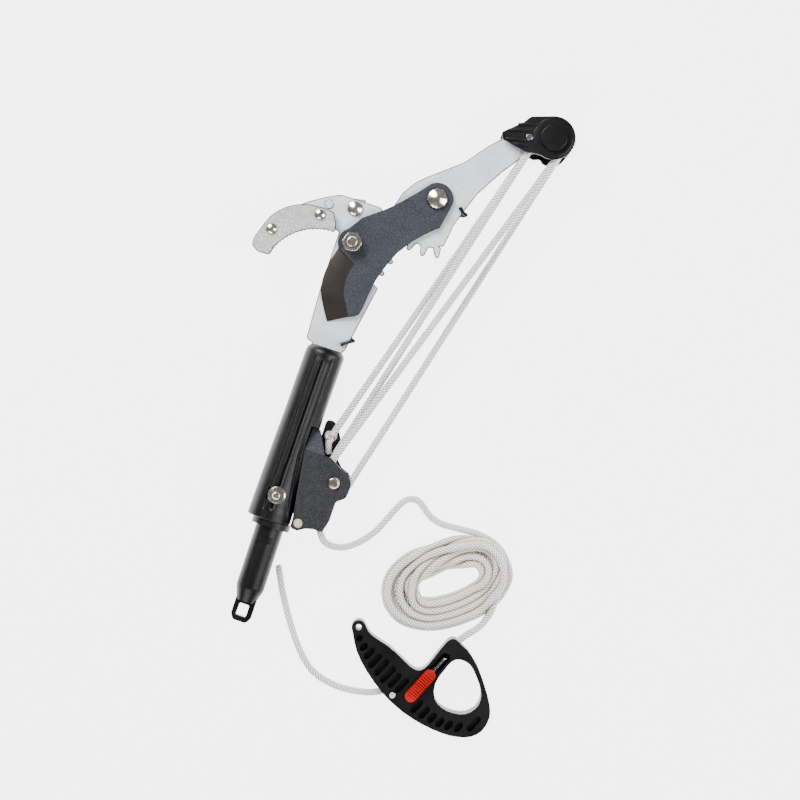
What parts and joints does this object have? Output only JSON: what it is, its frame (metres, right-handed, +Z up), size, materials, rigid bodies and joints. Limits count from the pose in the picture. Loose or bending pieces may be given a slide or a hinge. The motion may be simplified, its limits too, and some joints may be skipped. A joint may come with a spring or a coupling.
{
  "type": "tree pruner head",
  "caption": "Rope-pulled bypass pruner head for a pole: hooked jaw, geared blade lever, sheaves, rope coil and pull handle with a sliding lock.",
  "frame": {"origin": "middle of the tool's footprint, without the free rope, on the surface that it lies on", "axes": "+Y along the pole from the adapter to the blade head, +Z up from the surface, +X towards the rope side"},
  "size_m": [0.2802, 0.465, 0.0418],
  "materials": {
    "silver_paint": "silver metallic paint, fine sparkle",
    "grey_paint": "mid grey metallic paint",
    "slate_coating": "dark slate non-stick coating",
    "bright_steel": "bright nickel-plated steel",
    "brass": "pale brass, satin",
    "black_plastic": "black moulded plastic, satin grain",
    "black_nylon": "black nylon",
    "charcoal_powder_coat": "charcoal textured powder coat",
    "black_wire": "blackened spring wire",
    "white_rope": "white braided polyester rope",
    "red_plastic": "orange-red moulded plastic"
  },
  "bodies": {
    "frame": {"frame_plate": "silver_paint", "jaw_plate": "grey_paint", "stop_plate": "grey_paint", "jaw_rivet_tip": "bright_steel", "jaw_rivet_root": "bright_steel", "frame_rivet": "bright_steel", "jaw_pin": "bright_steel", "tang_rivet": "bright_steel", "pivot_bolt": "bright_steel", "pivot_washer": "bright_steel", "pivot_nut": "bright_steel", "socket_bolt": "bright_steel", "flange_nut": "bright_steel", "bracket_axle": "bright_steel", "sheave_spacer": "bright_steel", "slider_spring": "bright_steel", "handle_pin": "bright_steel", "bracket_rivet": "brass", "pole_socket": "black_plastic", "pole_adapter": "black_plastic", "pull_handle": "black_plastic", "sheave_bracket": "charcoal_powder_coat", "return_spring": "black_wire", "hauling_turn": "white_rope", "rope_knot": "white_rope", "rope_lead": "white_rope", "rope_coil": "white_rope", "rope_to_handle": "white_rope", "rope_tail": "white_rope"},
    "blade_arm": {"blade_arm": "slate_coating", "lever_rivet": "bright_steel"},
    "lever": {"lever_plate": "silver_paint", "housing_front": "black_plastic", "housing_rear": "black_plastic", "tip_axle": "black_plastic", "tip_hub": "black_plastic", "housing_screw": "bright_steel"},
    "tip_sheave_rear": {"tip_sheave_rear": "black_nylon"},
    "tip_sheave_front": {"tip_sheave_front": "black_nylon"},
    "bracket_sheave_rear": {"bracket_sheave_rear": "black_nylon"},
    "bracket_sheave_front": {"bracket_sheave_front": "black_nylon"},
    "tip_rope_turns": {"tip_turn_rear": "white_rope", "tip_turn_front": "white_rope"},
    "rope_falls": {"rear_fall": "white_rope", "cross_fall": "white_rope", "hauling_fall": "white_rope", "bracket_turn": "white_rope"},
    "becket_fall": {"becket_fall": "white_rope"},
    "spring_leg": {"spring_leg": "black_wire"},
    "lock_slider": {"lock_slider": "red_plastic"}
  },
  "joints": [
    {"name": "blade_pivot", "type": "hinge", "parent": "frame", "child": "blade_arm", "pos_m": [-0.0691, 0.0955, 0.02], "axis": [0, 0, -1], "range_deg": [0, 71], "stiffness_Nm_per_rad": 0.8, "springref_deg": -20.05, "deforming": ["rear_fall", "cross_fall", "hauling_fall", "becket_fall"]},
    {"name": "lever_pivot", "type": "hinge", "parent": "blade_arm", "child": "lever", "pos_m": [-0.0191, 0.1465, 0.02], "axis": [0, 0, -1], "range_deg": [0, 53.5]},
    {"name": "falls_swing", "type": "hinge", "parent": "frame", "child": "rope_falls", "pos_m": [-0.026, -0.0791, 0.0165], "axis": [0, 0, -1], "range_deg": [0, 26]},
    {"name": "becket_swing", "type": "hinge", "parent": "frame", "child": "becket_fall", "pos_m": [-0.0393, -0.0491, 0.0122], "axis": [0, 0, -1], "range_deg": [0, 45]},
    {"name": "tip_turns_swing", "type": "hinge", "parent": "lever", "child": "tip_rope_turns", "pos_m": [0.0492, 0.2163, 0.0165], "axis": [0, 0, 1], "range_deg": [0, 99]},
    {"name": "spring_leg_swing", "type": "hinge", "parent": "frame", "child": "spring_leg", "pos_m": [-0.0691, 0.0955, 0.02], "axis": [0, 0, -1], "range_deg": [0, 80]},
    {"name": "tip_sheave_rear_spin", "type": "hinge", "parent": "lever", "child": "tip_sheave_rear", "pos_m": [0.0492, 0.2163, 0.0165], "axis": [0, 0, 1], "continuous": true},
    {"name": "tip_sheave_front_spin", "type": "hinge", "parent": "lever", "child": "tip_sheave_front", "pos_m": [0.0492, 0.2163, 0.0165], "axis": [0, 0, 1], "continuous": true},
    {"name": "bracket_sheave_rear_spin", "type": "hinge", "parent": "frame", "child": "bracket_sheave_rear", "pos_m": [-0.026, -0.0791, 0.0165], "axis": [0, 0, 1], "continuous": true},
    {"name": "bracket_sheave_front_spin", "type": "hinge", "parent": "frame", "child": "bracket_sheave_front", "pos_m": [-0.026, -0.0791, 0.0165], "axis": [0, 0, 1], "continuous": true},
    {"name": "lock_slide", "type": "slide", "parent": "frame", "child": "lock_slider", "axis": [0.4067, 0.9136, 0], "range_m": [0, 0.01], "stiffness_N_per_m": 150, "springref_m": -0.01, "deforming": ["slider_spring"]}
  ],
  "couplings": [
    {"joint": "lever_pivot", "follows": "blade_pivot", "ratio": 0.75},
    {"joint": "falls_swing", "follows": "blade_pivot", "ratio": 0.363},
    {"joint": "becket_swing", "follows": "blade_pivot", "ratio": 0.625},
    {"joint": "tip_turns_swing", "follows": "blade_pivot", "ratio": 1.387},
    {"joint": "spring_leg_swing", "follows": "blade_pivot", "ratio": 1.115}
  ]
}
